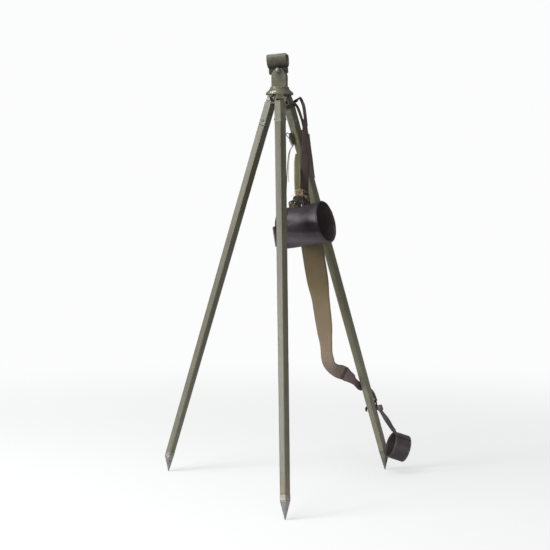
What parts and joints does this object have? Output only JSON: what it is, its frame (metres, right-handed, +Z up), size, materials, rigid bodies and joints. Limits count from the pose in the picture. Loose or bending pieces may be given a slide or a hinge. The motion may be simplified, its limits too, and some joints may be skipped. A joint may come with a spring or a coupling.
{
  "type": "surveyor tripod",
  "caption": "Folding three-legged instrument stand with pointed shoes, a swivelling pillar, a tilting clip cradle, and a leather cap, sling and foot ring hung on one leg.",
  "frame": {"origin": "on the ground, under the middle of the whole stand's bounding box with the legs open", "axes": "+Z up; the near leg points along -Y and the other two at 120 degrees to it, the right leg toward +X; the column axis is parallel to Z and passes through x = -27.6 mm, y = +86.4 mm"},
  "size_m": [0.6792, 0.547, 1.1324],
  "materials": {
    "head_crown": "dark olive enamel over metal, chipped at the edges",
    "azimuth_spindle": "bare steel, worn and dulled",
    "spindle_washer": "bare steel, worn and dulled",
    "spindle_nut": "bare steel, worn and dulled",
    "leg_near_hinge_bolt": "bare steel, worn and dulled",
    "leg_near_hinge_nut": "bare steel, worn and dulled",
    "leg_right_hinge_bolt": "bare steel, worn and dulled",
    "leg_right_hinge_nut": "bare steel, worn and dulled",
    "leg_left_hinge_bolt": "bare steel, worn and dulled",
    "leg_left_hinge_nut": "bare steel, worn and dulled",
    "head_pillar": "dark olive enamel over metal, chipped at the edges",
    "clamp_nut": "bare steel, worn and dulled",
    "clamp_screw": "bare steel, worn and dulled",
    "cradle_bracket": "dark olive enamel over metal, chipped at the edges",
    "cradle_clip": "dark olive enamel over metal, chipped at the edges",
    "cradle_lining": "dark waxed leather, creased and scuffed",
    "cradle_rivet_1": "dull brass",
    "cradle_rivet_2": "dull brass",
    "leg_near_stave": "straight-grained ash under worn olive-grey paint",
    "leg_near_socket": "olive enamel over steel, rubbed at the ears",
    "leg_near_socket_rivet": "bare steel, worn and dulled",
    "leg_near_collar": "bare steel, worn and dulled",
    "leg_near_shoe": "bare steel, worn and dulled",
    "leg_left_stave": "straight-grained ash under worn olive-grey paint",
    "leg_left_socket": "olive enamel over steel, rubbed at the ears",
    "leg_left_socket_rivet": "bare steel, worn and dulled",
    "leg_left_collar": "bare steel, worn and dulled",
    "leg_left_shoe": "bare steel, worn and dulled",
    "leg_right_stave": "straight-grained ash under worn olive-grey paint",
    "leg_right_socket": "olive enamel over steel, rubbed at the ears",
    "leg_right_socket_rivet": "bare steel, worn and dulled",
    "leg_right_collar": "bare steel, worn and dulled",
    "leg_right_shoe": "bare steel, worn and dulled",
    "sling_loop": "dark brown strap leather, dry at the edges",
    "sling_chape_upper": "dark brown strap leather, dry at the edges",
    "sling_tail": "dark brown strap leather, dry at the edges",
    "sling_webbing": "olive cotton webbing, plain weave",
    "sling_chape_lower": "dark brown strap leather, dry at the edges",
    "sling_keeper": "dark brown strap leather, dry at the edges",
    "lace_wrap": "waxed lace cord, frayed",
    "lace_cord": "waxed lace cord, frayed",
    "cap_webbing": "olive cotton webbing, plain weave",
    "head_cap": "dark waxed leather, creased and scuffed",
    "cap_tab": "dark waxed leather, creased and scuffed",
    "cap_knot": "waxed lace cord, frayed",
    "cap_lace": "waxed lace cord, frayed",
    "ring_keeper": "dark brown strap leather, dry at the edges",
    "ring_strap": "dark waxed leather, creased and scuffed",
    "foot_ring": "dark waxed leather, creased and scuffed",
    "ring_patch": "dark waxed leather, creased and scuffed"
  },
  "bodies": {
    "crown": {"head_crown": "head_crown", "azimuth_spindle": "azimuth_spindle", "spindle_washer": "spindle_washer", "spindle_nut": "spindle_nut", "leg_near_hinge_bolt": "leg_near_hinge_bolt", "leg_near_hinge_nut": "leg_near_hinge_nut", "leg_right_hinge_bolt": "leg_right_hinge_bolt", "leg_right_hinge_nut": "leg_right_hinge_nut", "leg_left_hinge_bolt": "leg_left_hinge_bolt", "leg_left_hinge_nut": "leg_left_hinge_nut"},
    "pillar": {"head_pillar": "head_pillar", "clamp_nut": "clamp_nut"},
    "screw": {"clamp_screw": "clamp_screw"},
    "cradle": {"cradle_bracket": "cradle_bracket", "cradle_clip": "cradle_clip", "cradle_lining": "cradle_lining", "cradle_rivet_1": "cradle_rivet_1", "cradle_rivet_2": "cradle_rivet_2"},
    "leg_near": {"leg_near_stave": "leg_near_stave", "leg_near_socket": "leg_near_socket", "leg_near_socket_rivet": "leg_near_socket_rivet", "leg_near_collar": "leg_near_collar", "leg_near_shoe": "leg_near_shoe"},
    "leg_left": {"leg_left_stave": "leg_left_stave", "leg_left_socket": "leg_left_socket", "leg_left_socket_rivet": "leg_left_socket_rivet", "leg_left_collar": "leg_left_collar", "leg_left_shoe": "leg_left_shoe"},
    "leg_right": {"leg_right_stave": "leg_right_stave", "leg_right_socket": "leg_right_socket", "leg_right_socket_rivet": "leg_right_socket_rivet", "leg_right_collar": "leg_right_collar", "leg_right_shoe": "leg_right_shoe"},
    "sling": {"sling_loop": "sling_loop", "sling_chape_upper": "sling_chape_upper", "sling_tail": "sling_tail", "sling_webbing": "sling_webbing", "sling_chape_lower": "sling_chape_lower", "sling_keeper": "sling_keeper", "lace_wrap": "lace_wrap", "lace_cord": "lace_cord", "cap_webbing": "cap_webbing"},
    "cap": {"head_cap": "head_cap", "cap_tab": "cap_tab", "cap_knot": "cap_knot", "cap_lace": "cap_lace"},
    "ring": {"ring_keeper": "ring_keeper", "ring_strap": "ring_strap", "foot_ring": "foot_ring", "ring_patch": "ring_patch"}
  },
  "joints": [
    {"name": "head_azimuth", "type": "hinge", "parent": "crown", "child": "pillar", "pos_m": [-0.02761, 0.08637, 1.04153], "axis": [0, 0, 1], "continuous": true},
    {"name": "cradle_tilt", "type": "hinge", "parent": "pillar", "child": "cradle", "pos_m": [-0.02761, 0.08637, 1.08653], "axis": [-0.2079, -0.9781, 0], "range_deg": [-19.5, 10.5]},
    {"name": "clamp_screw_turn", "type": "hinge", "parent": "pillar", "child": "screw", "pos_m": [-0.02761, 0.08637, 1.08653], "axis": [-0.2079, -0.9781, 0], "continuous": true},
    {"name": "leg_near_fold", "type": "hinge", "parent": "crown", "child": "leg_near", "pos_m": [-0.02761, 0.06287, 1.01653], "axis": [1, 0, 0], "range_deg": [0, 18.3]},
    {"name": "leg_left_fold", "type": "hinge", "parent": "crown", "child": "leg_left", "pos_m": [-0.04796, 0.09812, 1.01653], "axis": [-0.5, -0.866, 0], "range_deg": [0, 18.3]},
    {"name": "leg_right_fold", "type": "hinge", "parent": "crown", "child": "leg_right", "pos_m": [-0.00726, 0.09812, 1.01653], "axis": [-0.5, 0.866, 0], "range_deg": [0, 18.3]},
    {"name": "sling_swing", "type": "hinge", "parent": "leg_right", "child": "sling", "pos_m": [0.102, 0.1612, 0.63694], "axis": [-0.2728, -0.1575, 0.9491], "range_deg": [0, 119.45]},
    {"name": "cap_swing", "type": "hinge", "parent": "sling", "child": "cap", "pos_m": [0.02024, 0.08153, 0.885], "axis": [-0.3876, -0.9218, 0], "range_deg": [0, 33.44]},
    {"name": "ring_swing", "type": "hinge", "parent": "leg_right", "child": "ring", "pos_m": [0.23402, 0.23742, 0.17758], "axis": [0.2728, 0.1575, -0.9491], "range_deg": [-28, 8]}
  ],
  "couplings": [
    {"joint": "sling_swing", "follows": "leg_right_fold", "ratio": 6.5},
    {"joint": "cap_swing", "follows": "leg_near_fold", "ratio": 1.8}
  ]
}
